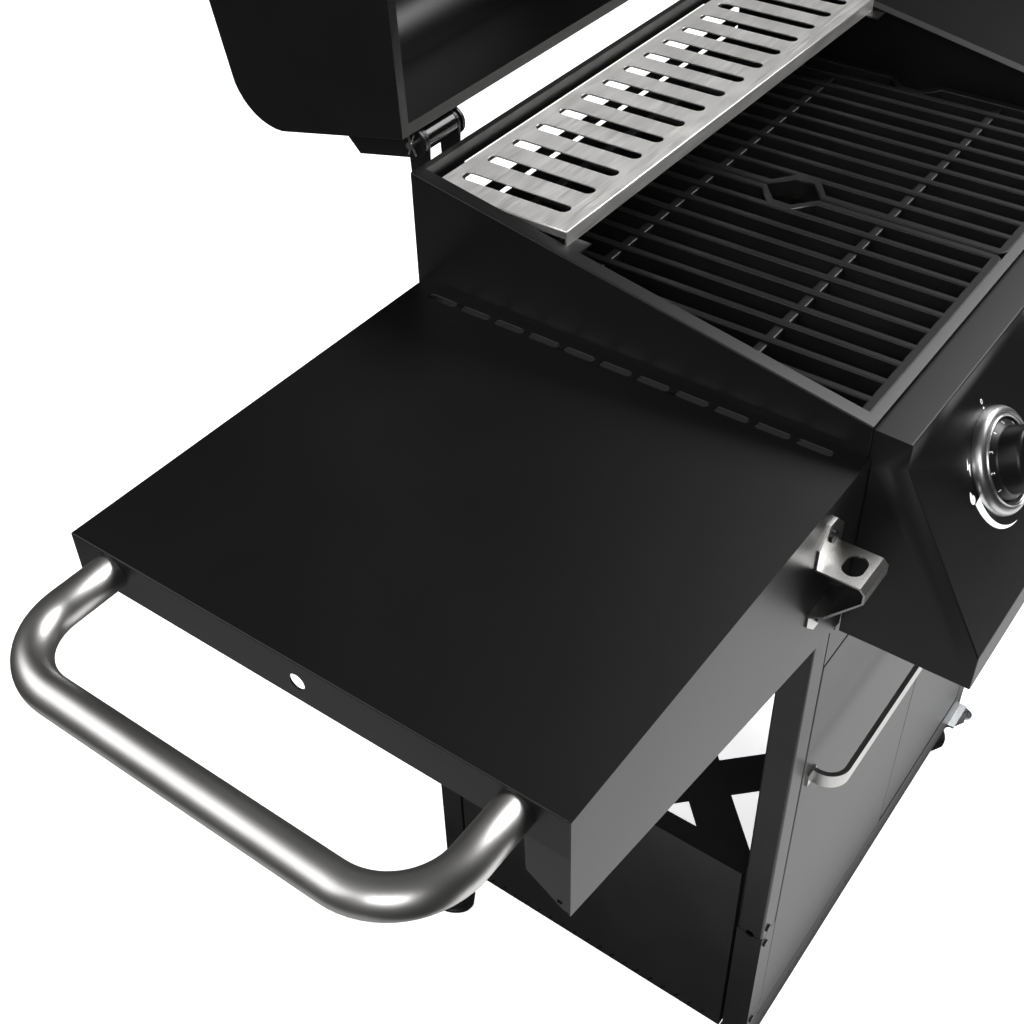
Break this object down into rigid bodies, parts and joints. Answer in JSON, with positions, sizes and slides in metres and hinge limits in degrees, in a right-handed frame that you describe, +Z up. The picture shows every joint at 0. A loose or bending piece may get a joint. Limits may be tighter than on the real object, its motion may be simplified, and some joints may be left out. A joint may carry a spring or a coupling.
{
  "type": "gas barbecue grill",
  "caption": "Gas barbecue grill on a castor cart, with an open lid, cast-iron grates, warming rack, control panel, side shelves, push handles and cabinet doors.",
  "frame": {"origin": "the point on the floor midway between the four legs", "axes": "+X along the cart's length to the right-hand shelf, +Y from the control panel to the back, +Z up"},
  "size_m": [1.429, 0.6983, 1.4163],
  "materials": {
    "black_powder_coat": "satin",
    "satin_stainless": "satin",
    "enamelled_cast_iron": "matt",
    "galvanised_steel": "satin",
    "brass": "satin",
    "black_plastic": "satin",
    "black_steel": "semi-gloss"
  },
  "bodies": {
    "cart": {"leg_front_left": "black_powder_coat", "leg_front_right": "black_powder_coat", "leg_rear_left": "black_powder_coat", "leg_rear_right": "black_powder_coat", "foot_front_left": "black_powder_coat", "foot_front_right": "black_powder_coat", "foot_rear_left": "black_powder_coat", "foot_rear_right": "black_powder_coat", "front_top_rail": "black_powder_coat", "rear_top_rail": "black_powder_coat", "front_bottom_rail": "black_powder_coat", "rear_bottom_rail": "black_powder_coat", "side_panel_left": "black_powder_coat", "side_panel_right": "black_powder_coat", "brace_strip_lower": "black_powder_coat", "brace_strip_upper": "black_powder_coat", "castor_plates": "galvanised_steel", "firebox": "black_powder_coat", "hinge_brackets": "black_powder_coat", "hinge_pins": "satin_stainless", "hinge_spacers": "black_plastic", "flame_tamers": "satin_stainless", "burners": "satin_stainless", "gas_manifold": "brass", "control_panel": "black_powder_coat", "knob_bezels": "satin_stainless", "shelf_left": "black_powder_coat", "shelf_right": "black_powder_coat", "shelf_fascia_left": "black_powder_coat", "shelf_fascia_right": "black_powder_coat", "push_handle_left": "satin_stainless", "push_handle_right": "satin_stainless", "bottle_opener": "satin_stainless", "screws": "black_steel"},
    "lid_body": {"lid": "black_powder_coat", "lid_handle": "satin_stainless"},
    "left_door": {"door_left": "black_powder_coat", "door_handle_left": "satin_stainless"},
    "right_door": {"door_right": "black_powder_coat", "door_handle_right": "satin_stainless"},
    "stem_left": {"valve_stem_left": "brass"},
    "dial_left": {"knob_left": "black_plastic"},
    "stem_middle": {"valve_stem_middle": "brass"},
    "dial_middle": {"knob_middle": "black_plastic"},
    "stem_right": {"valve_stem_right": "brass"},
    "dial_right": {"knob_right": "black_plastic"},
    "fork_front_left": {"castor_fork_front_left": "black_steel"},
    "wheel_front_left": {"castor_wheel_front_left": "black_plastic"},
    "fork_front_right": {"castor_fork_front_right": "black_steel"},
    "wheel_front_right": {"castor_wheel_front_right": "black_plastic"},
    "fork_rear_left": {"castor_fork_rear_left": "black_steel"},
    "wheel_rear_left": {"castor_wheel_rear_left": "black_plastic"},
    "fork_rear_right": {"castor_fork_rear_right": "black_steel"},
    "wheel_rear_right": {"castor_wheel_rear_right": "black_plastic"},
    "pedal_left": {"brake_pedal_left": "galvanised_steel"},
    "pedal_right": {"brake_pedal_right": "galvanised_steel"},
    "tray": {"grease_tray": "galvanised_steel"},
    "rack": {"warming_rack": "satin_stainless"},
    "grate_l": {"grate_left": "enamelled_cast_iron"},
    "grate_r": {"grate_right": "enamelled_cast_iron"}
  },
  "joints": [
    {"name": "lid_hinge", "type": "hinge", "parent": "cart", "child": "lid_body", "pos_m": [0, 0.193, 0.979], "axis": [1, 0, 0], "range_deg": [0, 102.5]},
    {"name": "left_door_hinge", "type": "hinge", "parent": "cart", "child": "left_door", "pos_m": [-0.2506, -0.188, 0.39], "axis": [0, 0, -1], "range_deg": [0, 100]},
    {"name": "right_door_hinge", "type": "hinge", "parent": "cart", "child": "right_door", "pos_m": [0.2506, -0.188, 0.39], "axis": [0, 0, 1], "range_deg": [0, 100]},
    {"name": "left_valve_turn", "type": "hinge", "parent": "cart", "child": "stem_left", "pos_m": [-0.156, -0.25387, 0.82426], "axis": [0, -0.8696, 0.4937], "range_deg": [0, 180]},
    {"name": "left_knob_push", "type": "slide", "parent": "stem_left", "child": "dial_left", "axis": [0, 0.8696, -0.4937], "range_m": [0, 0.003], "stiffness_N_per_m": 600},
    {"name": "middle_valve_turn", "type": "hinge", "parent": "cart", "child": "stem_middle", "pos_m": [0, -0.25387, 0.82426], "axis": [0, -0.8696, 0.4937], "range_deg": [0, 180]},
    {"name": "middle_knob_push", "type": "slide", "parent": "stem_middle", "child": "dial_middle", "axis": [0, 0.8696, -0.4937], "range_m": [0, 0.003], "stiffness_N_per_m": 600},
    {"name": "right_valve_turn", "type": "hinge", "parent": "cart", "child": "stem_right", "pos_m": [0.156, -0.25387, 0.82426], "axis": [0, -0.8696, 0.4937], "range_deg": [0, 180]},
    {"name": "right_knob_push", "type": "slide", "parent": "stem_right", "child": "dial_right", "axis": [0, 0.8696, -0.4937], "range_m": [0, 0.003], "stiffness_N_per_m": 600},
    {"name": "front_left_swivel", "type": "hinge", "parent": "cart", "child": "fork_front_left", "pos_m": [-0.268, -0.178, 0.08], "axis": [0, 0, 1], "continuous": true},
    {"name": "front_left_roll", "type": "hinge", "parent": "fork_front_left", "child": "wheel_front_left", "pos_m": [-0.276, -0.16414, 0.025], "axis": [0.866, 0.5, 0], "continuous": true},
    {"name": "front_right_swivel", "type": "hinge", "parent": "cart", "child": "fork_front_right", "pos_m": [0.268, -0.178, 0.08], "axis": [0, 0, 1], "continuous": true},
    {"name": "front_right_roll", "type": "hinge", "parent": "fork_front_right", "child": "wheel_front_right", "pos_m": [0.276, -0.16414, 0.025], "axis": [-0.866, 0.5, 0], "continuous": true},
    {"name": "rear_left_swivel", "type": "hinge", "parent": "cart", "child": "fork_rear_left", "pos_m": [-0.268, 0.178, 0.08], "axis": [0, 0, 1], "continuous": true},
    {"name": "rear_left_roll", "type": "hinge", "parent": "fork_rear_left", "child": "wheel_rear_left", "pos_m": [-0.276, 0.19186, 0.025], "axis": [0.866, 0.5, 0], "continuous": true},
    {"name": "rear_right_swivel", "type": "hinge", "parent": "cart", "child": "fork_rear_right", "pos_m": [0.268, 0.178, 0.08], "axis": [0, 0, 1], "continuous": true},
    {"name": "rear_right_roll", "type": "hinge", "parent": "fork_rear_right", "child": "wheel_rear_right", "pos_m": [0.276, 0.19186, 0.025], "axis": [-0.866, 0.5, 0], "continuous": true},
    {"name": "left_brake", "type": "hinge", "parent": "fork_front_left", "child": "pedal_left", "pos_m": [-0.28705, -0.189, 0.065], "axis": [-0.5, 0.866, 0], "range_deg": [0, 10]},
    {"name": "right_brake", "type": "hinge", "parent": "fork_front_right", "child": "pedal_right", "pos_m": [0.28705, -0.189, 0.065], "axis": [-0.5, -0.866, 0], "range_deg": [0, 10]},
    {"name": "grease_tray_pull", "type": "slide", "parent": "cart", "child": "tray", "axis": [0, 1, 0], "range_m": [0, 0.25]},
    {"name": "rack_lift", "type": "slide", "parent": "cart", "child": "rack", "axis": [0, 0, 1], "range_m": [0, 0.06]},
    {"name": "left_grate_lift", "type": "slide", "parent": "cart", "child": "grate_l", "axis": [0, 0, 1], "range_m": [0, 0.045]},
    {"name": "right_grate_lift", "type": "slide", "parent": "cart", "child": "grate_r", "axis": [0, 0, 1], "range_m": [0, 0.045]}
  ]
}
